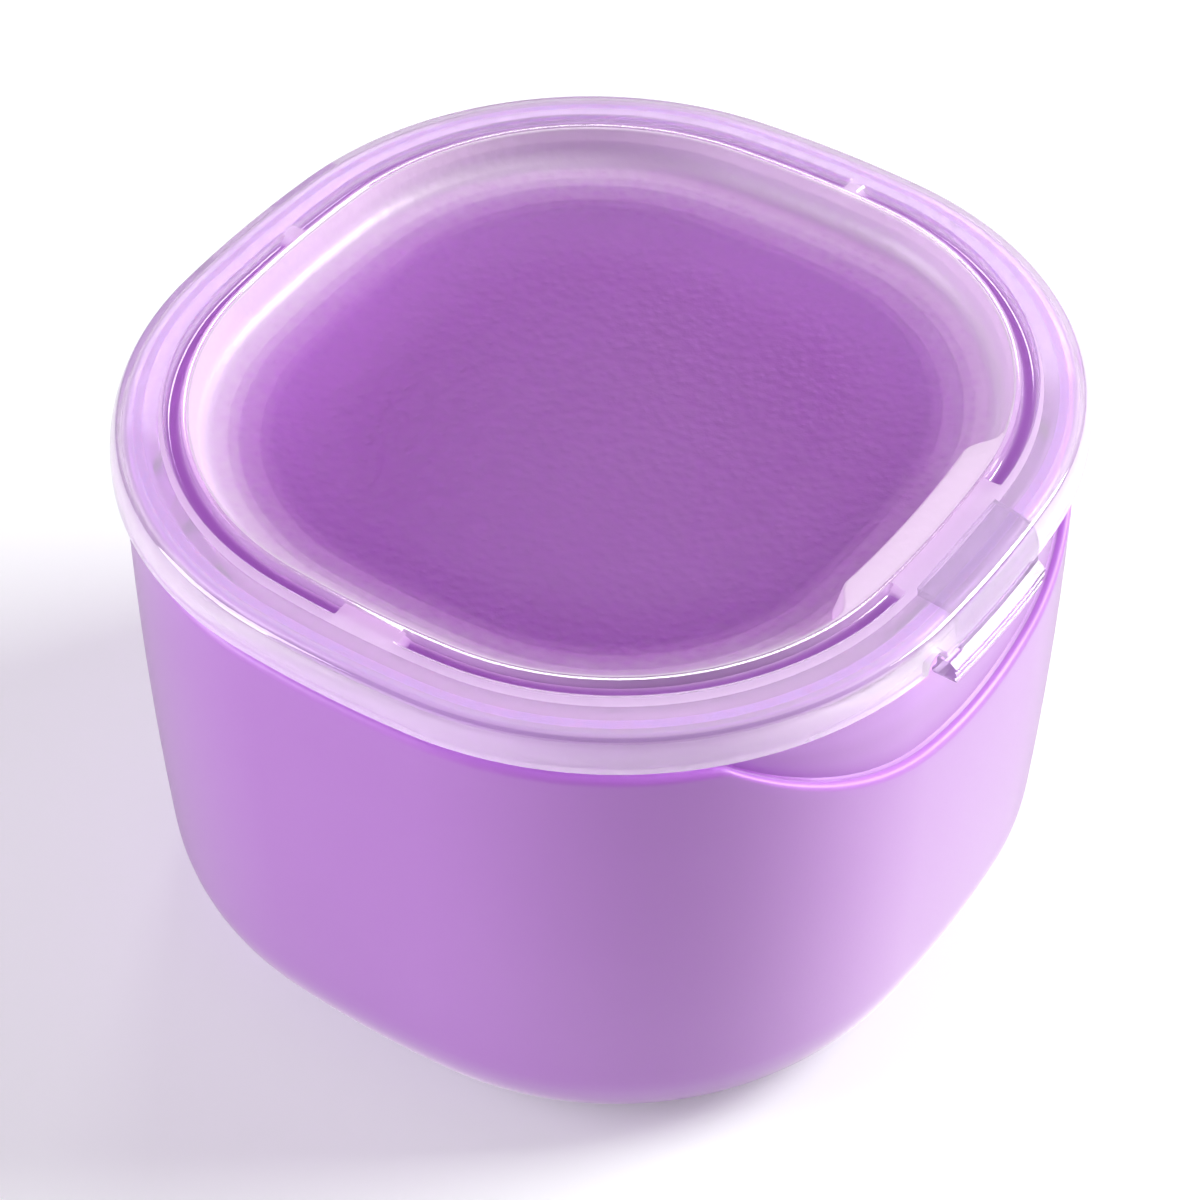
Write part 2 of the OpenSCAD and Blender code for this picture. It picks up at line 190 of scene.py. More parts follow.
def clearPlastic(name, look, seed):
    # polished clear styrene with faint flow lines and a little dust of wear on its edges
    material, kit, out = newMaterial(name)
    coords = kit.add("ShaderNodeTexCoord")
    stretch = kit.add("ShaderNodeMapping", {"Vector": coords.outputs["Object"], "Scale": look["flowStretch"]})
    flow = kit.add("ShaderNodeTexNoise", {"Vector": stretch.outputs[0], "Scale": look["flowScale"], "Detail": 2.0,
                                         "W": seed}, noise_dimensions="4D")
    wear = kit.add("ShaderNodeGroup", node_tree=wearGroup)
    wear.inputs["Amount"].default_value = look["wear"]
    wear.inputs["Breakup"].default_value = look["wearBreakup"]
    rough = kit.add("ShaderNodeMapRange", {"Value": wear.outputs["Mask"], "To Min": look["roughness"],
                                          "To Max": look["wornRoughness"]})
    bump = kit.add("ShaderNodeBump", {"Height": flow.outputs["Fac"], "Strength": 0.03,
                                     "Distance": look["flowDepth"]})
    # painted light: below the crease the skirt takes its own colour, which on the band is painted paler than the
    # crown for the light the clear rim carries down into it
    height = kit.add("ShaderNodeSeparateXYZ", {0: coords.outputs["Object"]})
    low = kit.add("ShaderNodeMapRange", {"Value": height.outputs[2], "From Min": look["skirtTop"],
                                        "From Max": look["skirtTop"] - look["skirtBlend"]})
    plain = kit.add("ShaderNodeMix", {0: low.outputs[0], 6: look["colour"], 7: look["skirt"]}, data_type="RGBA")
    # painted shade: "shade" marks the bottom of the groove and the crease, painted dark purple for the shade
    # there and the purple seen through them
    shade = kit.add("ShaderNodeAttribute", attribute_name="shade")
    tint = kit.add("ShaderNodeMix", {0: shade.outputs["Fac"], 6: plain.outputs[2], 7: look["shadeColour"]},
                   data_type="RGBA")
    shader = kit.add("ShaderNodeBsdfPrincipled", {
        "Base Color": tint.outputs[2], "Roughness": rough.outputs[0], "Normal": bump.outputs[0],
        "IOR": plasticIor, "Transmission Weight": look["clarity"], "Coat Weight": look["coat"],
        "Coat Roughness": 0.02, "Specular IOR Level": look["specular"]})
    letLampsThrough(kit, shader, out, look["lampTint"])
    return material


frostLook = {"colour": srgb(196, 104, 213), "pale": srgb(202, 116, 219), "haze": srgb(234, 220, 238),
             "hazeLow": 0.0594, "hazeHigh": 0.0608, "ragged": 0.0005, "roughness": 0.4, "pits": 0.55,
             "coat": 0.1, "coatRoughness": 0.25,
             # (height above which it holds, clarity)
             "clarity": ((0.0, 0.92), (0.05975, 0.82), (0.05995, 0.68), (0.06015, 0.52), (0.0604, 0.38),
                         (0.0609, 0.3)),
             "grainSize": 1.1, "grainDepth": 0.00012, "lampTint": (0.67, 0.4, 0.68, 1)}


def frostedPlastic(name, look, clarity):
    # the same plastic with an orange-peel texture moulded into its upper face
    material, kit, out = newMaterial(name)
    grain = kit.add("ShaderNodeGroup", node_tree=grainGroup)
    grain.inputs["Size"].default_value = look["grainSize"]
    grain.inputs["Pits"].default_value = look["pits"]
    tint = kit.add("ShaderNodeMix", {0: grain.outputs["Mottle"], 6: look["colour"], 7: look["pale"]},
                   data_type="RGBA")
    # the recess wall and the land are painted paler than the dish, with a ragged edge between: partly a milkier
    # frost, partly painted light for the bright haze the wall catches
    coords = kit.add("ShaderNodeTexCoord")
    height = kit.add("ShaderNodeSeparateXYZ", {0: coords.outputs["Object"]})
    ragged = kit.add("ShaderNodeMath", {0: grain.outputs["Height"], 1: look["ragged"], 2: height.outputs[2]},
                     operation="MULTIPLY_ADD")
    haze = kit.add("ShaderNodeMapRange", {
        "Value": ragged.outputs[0], "From Min": look["hazeLow"] + look["ragged"] / 2,
        "From Max": look["hazeHigh"] + look["ragged"] / 2}, interpolation_type="SMOOTHSTEP")
    milkyAndLit = kit.add("ShaderNodeMix", {0: haze.outputs[0], 6: tint.outputs[2], 7: look["haze"]},
                    data_type="RGBA")
    rough = kit.add("ShaderNodeMapRange", {"Value": grain.outputs["Height"], "To Min": look["roughness"] - 0.06,
                                          "To Max": look["roughness"] + 0.06})
    bump = kit.add("ShaderNodeBump", {"Height": grain.outputs["Height"], "Strength": 0.8,
                                     "Distance": look["grainDepth"]})
    shader = kit.add("ShaderNodeBsdfPrincipled", {
        "Base Color": milkyAndLit.outputs[2], "Roughness": rough.outputs[0], "Normal": bump.outputs[0],
        "IOR": plasticIor, "Transmission Weight": clarity, "Coat Weight": look["coat"],
        "Coat Roughness": look["coatRoughness"]})
    letLampsThrough(kit, shader, out, look["lampTint"])
    return material


sealLook = {"colour": srgb(206, 172, 224), "pale": srgb(216, 186, 232), "grainSize": 0.2, "grainDepth": 0.00001,
            "roughness": (0.5, 0.65)}


def softSeal(look):
    material, kit, out = newMaterial("sealRubber")
    grain = kit.add("ShaderNodeGroup", node_tree=grainGroup)
    grain.inputs["Size"].default_value = look["grainSize"]
    tint = kit.add("ShaderNodeMix", {0: grain.outputs["Mottle"], 6: look["colour"], 7: look["pale"]},
                   data_type="RGBA")
    bump = kit.add("ShaderNodeBump", {"Height": grain.outputs["Height"], "Strength": 0.4,
                                     "Distance": look["grainDepth"]})
    rough = kit.add("ShaderNodeMapRange", {"Value": grain.outputs["Mottle"], "To Min": look["roughness"][0],
                                          "To Max": look["roughness"][1]})
    shader = kit.add("ShaderNodeBsdfPrincipled", {
        "Base Color": tint.outputs[2], "Roughness": rough.outputs[0], "Normal": bump.outputs[0],
        "Subsurface Weight": 0.3, "Subsurface Scale": 0.001})
    kit.link(shader.outputs[0], out.inputs["Surface"])
    return material


pinLook = {"colour": srgb(196, 196, 202), "pale": srgb(222, 222, 226), "drawn": (40, 4000, 4000),
           "roughness": (0.18, 0.36), "drawDepth": 0.00001}


def pinSteel(look):
    # steel wire with fine lines along its length
    material, kit, out = newMaterial("pinSteel")
    coords = kit.add("ShaderNodeTexCoord")
    along = kit.add("ShaderNodeMapping", {"Vector": coords.outputs["Object"], "Scale": look["drawn"]})
    drawn = kit.add("ShaderNodeTexNoise", {"Vector": along.outputs[0], "Scale": 1.0, "Detail": 3.0})
    rough = kit.add("ShaderNodeMapRange", {"Value": drawn.outputs["Fac"], "To Min": look["roughness"][0],
                                          "To Max": look["roughness"][1]})
    tint = kit.add("ShaderNodeMix", {0: drawn.outputs["Fac"], 6: look["colour"], 7: look["pale"]},
                   data_type="RGBA")
    bump = kit.add("ShaderNodeBump", {"Height": drawn.outputs["Fac"], "Strength": 0.2,
                                     "Distance": look["drawDepth"]})
    shader = kit.add("ShaderNodeBsdfPrincipled", {
        "Base Color": tint.outputs[2], "Metallic": 1.0, "Roughness": rough.outputs[0],
        "Normal": bump.outputs[0]})
    kit.link(shader.outputs[0], out.inputs["Surface"])
    return material


basketLook = {**lilac, "colour": srgb(184, 102, 208), "pale": srgb(190, 112, 212)}
tabLook = {**clearLook, "skirt": srgb(200, 172, 214), "clarity": 0.85, "coat": 0.1, "specular": 0.25}
finishes = {
    "cup": opaquePlastic("cupLilac", lilac, 1.0),
    "basket": opaquePlastic("basketLilac", basketLook, 4.0),
    "seal_ring": softSeal(sealLook),
    "lid_band": clearPlastic("clearBand", clearLook, 0.0),
    "latch_tab": clearPlastic("clearTab", tabLook, 3.0),
    "lid_panel": frostedPlastic("frostedPanel", frostLook, frostLook["clarity"][0][1]),
    "hinge_pin": pinSteel(pinLook),
}
# the panel turns milky towards its wall in steps of height, because glass keeps one plain clarity a material
frostedSteps = [finishes["lid_panel"]]
frostedSteps += [frostedPlastic("frostedStep%d" % i, frostLook, step[1])
                 for i, step in enumerate(frostLook["clarity"][1:], 1)]
for name, material in finishes.items():
    mesh = nodes[name].data
    mesh.materials.clear()
    mesh.materials.append(material)
print("finishes made")

# the part's own sizes in millimetres: every wall is an inset of one outline of eight arcs
outlineSize = {"cornerR": 39.65, "sideR": 129.65, "endR": 139.65, "cornerX": 7.584, "cornerY": 6.8256,
               "sideX": -82.1568, "endY": -92.8864, "seam": 4.349, "fine": 0.3, "coarse": 0.9,
               "inner": 26}  # the inset from which a section is drawn in to the middle
halfDepth = outlineSize["endY"] + outlineSize["endR"]


def outlinePath():
    # (x, y, normal x, normal y) once round, anticlockwise from the middle of the right side
    o = outlineSize
    arcs = []
    for quarter in range(4):
        sx, sy = ((1, 1), (-1, 1), (-1, -1), (1, -1))[quarter]
        first = ((o["sideX"] * sx, 0), o["sideR"], 0, o["seam"])
        middle = ((o["cornerX"] * sx, o["cornerY"] * sy), o["cornerR"], o["seam"], 90 - o["seam"])
        last = ((0, o["endY"] * sy), o["endR"], 90 - o["seam"], 90)
        if quarter % 2:
            first, last = last, first
            first = (first[0], first[1], 0, o["seam"])
            last = (last[0], last[1], 90 - o["seam"], 90)
        arcs += [(c, r, a + 90 * quarter, b + 90 * quarter) for c, r, a, b in (first, middle, last)]
    path = []
    for (cx, cy), r, a, b in arcs:
        step = o["coarse"] if r == o["cornerR"] else o["fine"]
        count = max(2, round(math.radians(b - a) * r / step))
        for i in range(count):
            turn = math.radians(a + (b - a) * i / count)
            path.append((cx + r * math.cos(turn), cy + r * math.sin(turn), math.cos(turn), math.sin(turn)))
    return path


def frontY(x, inset=0):
    # how far from the middle the outline's front or back edge lies at this x
    o = outlineSize
    x = abs(x)
    if x > o["cornerX"] + (o["cornerR"] - inset) * math.sin(math.radians(o["seam"])):
        return o["cornerY"] + math.sqrt((o["cornerR"] - inset) ** 2 - (x - o["cornerX"]) ** 2)
    return o["endY"] + math.sqrt((o["endR"] - inset) ** 2 - x * x)


def arc(cx, cz, r, a, b, n):
    # n steps round a centre, from angle a to angle b
    turns = [math.radians(a + (b - a) * i / n) for i in range(n + 1)]
    return [(cx + r * math.cos(turn), cz + r * math.sin(turn)) for turn in turns]


def chainMesh(name, points, values):
    # the points of a path or section in metres, with a number or vector at each for the tree to read
    mesh = bpy.data.meshes.new(name)
    mesh.from_pydata([tuple(0.001 * c for c in p) for p in points], [], [])
    for label, numbers in values.items():
        vector = isinstance(numbers[0], tuple)
        layer = mesh.attributes.new(label, "FLOAT_VECTOR" if vector else "FLOAT", "POINT")
        if vector:
            layer.data.foreach_set("vector", [c for v in numbers for c in v])
        else:
            layer.data.foreach_set("value", numbers)
    return mesh


def sweepTree():
    # carries a section round the path. Section points are x = -inset, z = height. "drawn" pulls a point in
    # to the middle, "follow" lets it drop with the thumb scoop's edge, and "dig" sinks it where the path's
    # "dug" is 1
    tree = bpy.data.node_groups.new("sweepSection", "GeometryNodeTree")
    face = tree.interface
    face.new_socket("Path", in_out="INPUT", socket_type="NodeSocketGeometry")
    for label, kind, value in (
            ("Section", "NodeSocketObject", None), ("Scoop Radius", "NodeSocketFloat", 0.0472),
            ("Scoop Low", "NodeSocketFloat", 0.0445), ("Shoulder", "NodeSocketFloat", 0.0574),
            ("Scoop Blend", "NodeSocketFloat", 0.0006), ("Bow Radius", "NodeSocketFloat", 0.553),
            ("Bow Height", "NodeSocketFloat", 0.0446), ("Finish", "NodeSocketMaterial", None)):
        socket = face.new_socket(label, in_out="INPUT", socket_type=kind)
        if value is not None:
            socket.default_value = value
    face.new_socket("Mesh", in_out="OUTPUT", socket_type="NodeSocketGeometry")
    kit = Nodes(tree)
    gin, gout = kit.add("NodeGroupInput"), kit.add("NodeGroupOutput")
    path = gin.outputs["Path"]
    info = kit.add("GeometryNodeObjectInfo", {"Object": gin.outputs["Section"]})
    section = info.outputs["Geometry"]

    def maths(operation, a, b=0.0, c=None):
        inputs = {0: a, 1: b} if c is None else {0: a, 1: b, 2: c}
        return kit.add("ShaderNodeMath", inputs, operation=operation).outputs[0]

    def named(geometry, index, label, kind):
        read = kit.add("GeometryNodeInputNamedAttribute", {"Name": label}, data_type=kind)
        value = [o for o in read.outputs if o.enabled][0]
        return picked(geometry, index, value, kind)

    def picked(geometry, index, value, kind):
        node = kit.add("GeometryNodeSampleIndex", {"Geometry": geometry}, data_type=kind)
        kit.link(value, node.inputs["Value"])
        kit.link(index, node.inputs["Index"])
        return node.outputs[0]

    def pointCount(geometry):
        return kit.add("GeometryNodeAttributeDomainSize", {"Geometry": geometry}, component="MESH").outputs[0]

    sectionCount = pointCount(section)
    pathCount = pointCount(path)
    grid = kit.add("GeometryNodeMeshGrid", {"Vertices X": maths("ADD", pathCount, 1.0),
                                            "Vertices Y": sectionCount})
    index = kit.add("GeometryNodeInputIndex").outputs[0]
    station = maths("FLOOR", maths("DIVIDE", maths("ADD", index, 0.5), sectionCount))
    along = maths("SUBTRACT", index, maths("MULTIPLY", station, sectionCount))
    onPath = maths("FLOORED_MODULO", station, pathCount)
    position = kit.add("GeometryNodeInputPosition").outputs[0]
    foot = kit.add("ShaderNodeSeparateXYZ", {0: picked(path, onPath, position, "FLOAT_VECTOR")})
    normal = kit.add("ShaderNodeSeparateXYZ", {0: named(path, onPath, "normal", "FLOAT_VECTOR")})
    dug = named(path, onPath, "dug", "FLOAT")
    point = kit.add("ShaderNodeSeparateXYZ", {0: picked(section, along, position, "FLOAT_VECTOR")})
    drawn = named(section, along, "drawn", "FLOAT")
    follow = named(section, along, "follow", "FLOAT")
    dig = named(section, along, "dig", "FLOAT")
    keep = maths("SUBTRACT", 1.0, drawn)
    x = maths("MULTIPLY", keep, maths("MULTIPLY_ADD", normal.outputs[0], point.outputs[0], foot.outputs[0]))

    # the scoop's edge is a circle seen from the front, and the wall bows in a little as it drops
    centre = maths("ADD", gin.outputs["Scoop Low"], gin.outputs["Scoop Radius"])
    square = maths("SUBTRACT", maths("MULTIPLY", gin.outputs["Scoop Radius"], gin.outputs["Scoop Radius"]),
                   maths("MULTIPLY", x, x))
    edge = maths("SUBTRACT", centre, maths("SQRT", maths("MAXIMUM", square, 0.0)))
    edge = maths("SMOOTH_MIN", edge, gin.outputs["Shoulder"], gin.outputs["Scoop Blend"])
    drop = maths("SUBTRACT", edge, gin.outputs["Shoulder"])
    drop = maths("MULTIPLY", drop, maths("LESS_THAN", foot.outputs[1], 0.0))
    drop = maths("MULTIPLY", drop, follow)
    z = maths("ADD", maths("ADD", point.outputs[2], drop), maths("MULTIPLY", dig, dug))

    def bow(height):
        off = maths("SUBTRACT", height, gin.outputs["Bow Height"])
        radius = gin.outputs["Bow Radius"]
        return maths("SQRT", maths("SUBTRACT", maths("MULTIPLY", radius, radius), maths("MULTIPLY", off, off)))

    # only the outer wall bows, and not the neck that stands further in
    shift = maths("SUBTRACT", bow(z), bow(point.outputs[2]))
    onWall = maths("GREATER_THAN", point.outputs[0], -0.00235)
    reach = maths("ADD", point.outputs[0], maths("MULTIPLY", shift, onWall))
    x = maths("MULTIPLY", keep, maths("MULTIPLY_ADD", normal.outputs[0], reach, foot.outputs[0]))
    y = maths("MULTIPLY", keep, maths("MULTIPLY_ADD", normal.outputs[1], reach, foot.outputs[1]))
    place = kit.add("ShaderNodeCombineXYZ", {0: x, 1: y, 2: z})
    # painted shade: at the full depth of a groove, about 1.1 mm, its bottom is painted in full shade
    sunk = maths("POWER", maths("MULTIPLY", maths("MULTIPLY", dig, dug), -900.0), 4.0)
    shade = kit.add("GeometryNodeStoreNamedAttribute", {
        "Geometry": grid.outputs["Mesh"], "Name": "shade",
        "Value": maths("ADD", named(section, along, "shade", "FLOAT"), sunk)})
    moved = kit.add("GeometryNodeSetPosition", {"Geometry": shade.outputs[0], "Position": place.outputs[0]})
    welded = kit.add("GeometryNodeMergeByDistance", {"Geometry": moved.outputs[0], "Distance": 0.0000005})
    plain = kit.add("GeometryNodeRealizeInstances", {"Geometry": welded.outputs[0]})
    painted = kit.add("GeometryNodeSetMaterial", {"Geometry": plain.outputs[0],
                                                  "Material": gin.outputs["Finish"]})
    kit.link(painted.outputs[0], gout.inputs["Mesh"])
    return tree


sweepGroup = sweepTree()
pathPoints = outlinePath()


def swept(name, section, material, dug=None, sharpAngle=32):
    # section: a list of (x, z, drawn, follow, dig) in millimetres, with a sixth number for how much shade is
    # painted there
    profile = chainMesh(name + "Profile", [(p[0], 0, p[1]) for p in section],
                        {"drawn": [float(p[2]) for p in section], "follow": [float(p[3]) for p in section],
                         "dig": [0.001 * p[4] for p in section],
                         "shade": [float(p[5]) if len(p) > 5 else 0.0 for p in section]})
    holder = bpy.data.objects.new(name + "Profile", profile)
    path = chainMesh(name + "Path", [(p[0], p[1], 0) for p in pathPoints],
                     {"normal": [(p[2], p[3], 0.0) for p in pathPoints], "dug": dug or [0.0] * len(pathPoints)})
    carrier = bpy.data.objects.new(name + "Path", path)
    bpy.context.scene.collection.objects.link(holder)
    bpy.context.scene.collection.objects.link(carrier)
    modifier = carrier.modifiers.new("sweep", "NODES")
    modifier.node_group = sweepGroup
    sockets = {item.name: item.identifier for item in sweepGroup.interface.items_tree}
    modifier[sockets["Section"]] = holder
    modifier[sockets["Finish"]] = material
    done = carrier.evaluated_get(bpy.context.evaluated_depsgraph_get())
    mesh = bpy.data.meshes.new_from_object(done)
    mesh.name = name
    bpy.data.objects.remove(carrier)
    bpy.data.objects.remove(holder)
    return finished(name, mesh, sharpAngle)


def finished(name, mesh, sharpAngle=32):
    # faces outward, smooth shading broken only at real edges
    work = bmesh.new()
    work.from_mesh(mesh)
    bmesh.ops.recalc_face_normals(work, faces=work.faces)
    work.to_mesh(mesh)
    work.free()
    for label in [a.name for a in mesh.attributes if a.name in ("drawn", "follow", "dig", "normal", "dug")]:
        mesh.attributes.remove(mesh.attributes[label])
    mesh.polygons.foreach_set("use_smooth", [True] * len(mesh.polygons))
    mesh.set_sharp_from_angle(angle=math.radians(sharpAngle))
    piece = bpy.data.objects.new(name, mesh)
    bpy.context.scene.collection.objects.link(piece)
    return piece


def loftedMesh(name, rings, material):
    # closed solid through rings of points that all have the same count, in millimetres
    count = len(rings[0])
    points = [tuple(0.001 * c for c in p) for ring in rings for p in ring]
    faces = [tuple(range(count)), tuple((len(rings) - 1) * count + i for i in reversed(range(count)))]
    for j in range(len(rings) - 1):
        for i in range(count):
            k = (i + 1) % count
            faces.append((j * count + i, (j + 1) * count + i, (j + 1) * count + k, j * count + k))
    mesh = bpy.data.meshes.new(name)
    mesh.from_pydata(points, [], faces)
    mesh.materials.append(material)
    return mesh


def cutAway(piece, cutter, sharpAngle=32):
    # takes the cutter's closed mesh out of the piece
    tool = bpy.data.objects.new("cutter", cutter)
    bpy.context.scene.collection.objects.link(tool)
    modifier = piece.modifiers.new("cut", "BOOLEAN")
    modifier.operation = "DIFFERENCE"
    modifier.solver = "EXACT"
    modifier.object = tool
    done = piece.evaluated_get(bpy.context.evaluated_depsgraph_get())
    mesh = bpy.data.meshes.new_from_object(done)
    name = piece.name
    bpy.data.objects.remove(piece)
    bpy.data.objects.remove(tool)
    mesh.name = name
    return finished(name, mesh, sharpAngle)


cupSize = {"rimZ": 59.5, "bowX": -554.0, "bowR": 553.0, "bowZ": 44.6, "wall": 3.1, "floor": 2.4, "footR": 12.0,
           "shoulderZ": 57.4, "shoulderR": 0.9, "neckInset": 2.4, "neckRise": 2.6, "neckR": 0.35,
           "axisY": 46.8, "axisZ": 55.9, "knuckleR": 1.8, "pocketGap": 0.3,
           "lugX": 5.2, "lugLen": 11.8, "lugRoot": 44.2, "lugTop": 1.6, "lugProud": 1.3, "gussetLen": 6.8,
           "beadR": 0.6, "beadHalf": 8, "beadZ": 58.3}


def wallX(shift, z):
    return cupSize["bowX"] + math.sqrt((cupSize["bowR"] - shift) ** 2 - (z - cupSize["bowZ"]) ** 2)


def bowlFoot(shift, z0, r):
    # centre of the rounding between a bowed wall and a flat floor, and the angle where it meets the wall
    x = cupSize["bowX"] + math.sqrt((cupSize["bowR"] - shift - r) ** 2 - (cupSize["bowZ"] - z0 - r) ** 2)
    return x, z0 + r, math.degrees(math.atan2(z0 + r - cupSize["bowZ"], x - cupSize["bowX"]))


def cupSection():
    # up the outer wall, over the scoop's ledge and the neck, and down the inner wall to the floor
    c, inner = cupSize, -outlineSize["inner"]
    x, z, top = bowlFoot(0, 0, c["footR"])
    points = [(inner, 0, 1, 0, 0), (inner, 0, 0.5, 0, 0), (inner, 0, 0, 0, 0)]
    points += [(px, pz, 0, 0, 0) for px, pz in arc(x, z, c["footR"], -90, top, 16)]
    low, edgeZ = points[-1][1], c["shoulderZ"] - c["shoulderR"]
    edgeX = wallX(0, edgeZ) - c["shoulderR"]
    steps = 30
    for i in range(1, steps):
        share = i / steps
        points.append((wallX(0, low + (edgeZ - low) * share), low + (edgeZ - low) * share, 0, share, 0))
    points += [(px, pz, 0, 1, 0) for px, pz in arc(edgeX, edgeZ, c["shoulderR"], 0, 90, 8)]
    neckX, neckZ = -c["neckInset"], c["rimZ"] + c["neckRise"]
    # the sixth numbers paint shade on the scoop's ledge and the foot of the neck, darkest in the inner corner
    points += [(edgeX - 0.3, c["shoulderZ"], 0, 1, 0, 0.8), (neckX + 0.25, c["shoulderZ"], 0, 1, 0, 1)]
    points += [(neckX + 0.07, c["shoulderZ"] + 0.07, 0, 1, 0, 1), (neckX, c["shoulderZ"] + 0.25, 0, 1, 0, 0.8)]
    steps = 7
    for i in range(1, steps + 1):
        rise = (neckZ - c["neckR"] - c["shoulderZ"] - 0.25) * i / steps
        points.append((neckX, c["shoulderZ"] + 0.25 + rise, 0, 1 - i / steps, 0, 0.35 if i < 3 else 0))
    outerX, lipX, lipZ = neckX - c["neckR"], wallX(c["wall"], neckZ) + c["neckR"], neckZ - c["neckR"]
    points += [(px, pz, 0, 0, 0) for px, pz in arc(outerX, lipZ, c["neckR"], 15, 90, 5)]
    points += [(px, pz, 0, 0, 0) for px, pz in arc(lipX, lipZ, c["neckR"], 90, 180, 5)]
    x, z, top = bowlFoot(c["wall"], c["floor"], c["footR"] - c["wall"])
    high = z + (c["footR"] - c["wall"]) * math.sin(math.radians(top))
    steps = 14
    for i in range(1, steps):
        height = neckZ - c["neckR"] + (high - neckZ + c["neckR"]) * i / steps
        points.append((wallX(c["wall"], height), height, 0, 0, 0))
    points += [(px, pz, 0, 0, 0) for px, pz in arc(x, z, c["footR"] - c["wall"], top, -90, 12)]
    return points + [(inner, c["floor"], 0, 0, 0), (inner, c["floor"], 0.5, 0, 0), (inner, c["floor"], 1, 0, 0)]


def lugRings(side):
    # hinge lug: a barrel with a gusset below it, its outer face held a little outside the outline
    c = cupSize
    rings, steps = [], 12
    for i in range(steps + 1):
        x = c["lugX"] + c["lugLen"] * i / steps
        limit = frontY(x, -c["lugProud"])
        ring = [(c["lugRoot"], c["axisZ"] + c["lugTop"]), (c["axisY"] + 0.3, c["axisZ"] + c["lugTop"])]
        ring += arc(c["axisY"], c["axisZ"], c["knuckleR"], 80, -35, 14)
        endY, endZ = ring[-1]
        ring += [(endY - 1.8, endZ - c["gussetLen"] / 2), (endY - 3.6, endZ - c["gussetLen"]),
                 (c["lugRoot"], endZ - c["gussetLen"])]
        rings.append([(side * x, min(y, limit), z) for y, z in ring])
    return rings


def beadRings():
    # the bead in the scoop that the tab's nose closes over
    r, half, steps = cupSize["beadR"], cupSize["beadHalf"], 24
    section = arc(0, 0, r, -90, 90, 8) + [(-0.3, r), (-0.3, -r)]
    return [[(x, -frontY(x, cupSize["neckInset"]) - out, cupSize["beadZ"] + up) for out, up in section]
            for x in [-half + 2 * half * i / steps for i in range(steps + 1)]]


cupPiece = swept("cupShell", cupSection(), finishes["cup"])
# room for the lid's knuckle between the lugs
pocketPoints = arc(cupSize["axisY"], cupSize["axisZ"], cupSize["knuckleR"] + cupSize["pocketGap"], 180, 360, 20)
pocketPoints += [(52.0, cupSize["axisZ"]), (52.0, 61.0), (pocketPoints[0][0], 61.0)]
pocketRings = [[(x, y, z) for y, z in pocketPoints] for x in (-cupSize["lugX"], cupSize["lugX"])]
pocket = loftedMesh("pocket", pocketRings, finishes["cup"])
cupPiece = cutAway(cupPiece, pocket)
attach(cupPiece, "cup")
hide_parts("cup")
for name, rings in (("hingeLugRight", lugRings(1)), ("hingeLugLeft", lugRings(-1)), ("catchBead", beadRings())):
    piece = finished(name, loftedMesh(name, rings, finishes["cup"]))
    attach(piece, "cup")
print("cup made,", len(cupPiece.data.polygons), "faces")


lidSize = {"rimZ": 59.5, "crownH": 4.9, "crownR": 19.0, "crownInset": 7.2, "skirtR": 5.5, "skirtFlat": 0.8,
           "creaseR": 0.8, "skirtT": 1.6, "under": 3.1, "split": 8.0, "overlap": 0.05,
           "grooveInset": 6.5, "grooveHalf": 0.95, "grooveDepth": 1.1, "grooveEnd": 0.55,
           "panelH": 1.0, "sag": 1.3, "panelUnder": 1.6, "recessR": 2.4, "plugInset": 7.2, "plugR": 1.2,
           "edgeR": 0.3, "panelDrop": 0.12, "wallRise": 4.2, "wallRun": 1.2, "knuckleHalf": 4.8,
           "tabLeft": -8.3, "tabRight": 6.5, "tabInset": 5.4, "tabGap": 0.12,
           "notchX": -12.1, "notchZ": 59.8, "notchR": 1.5}
# where the groove stops, along x at the front and the back and along y at the sides
grooveBreaks = {"front": (-9.2, 8.5), "left": (-5.0, 2.0), "right": (-5.5, -3.9), "back": (0.4, 2.0)}
landSize = {"half": 12.0, "run": 3.5, "slope": 4.5, "inset": 11.0, "endInset": 8.45, "drop": 0.16, "low": 60.2}


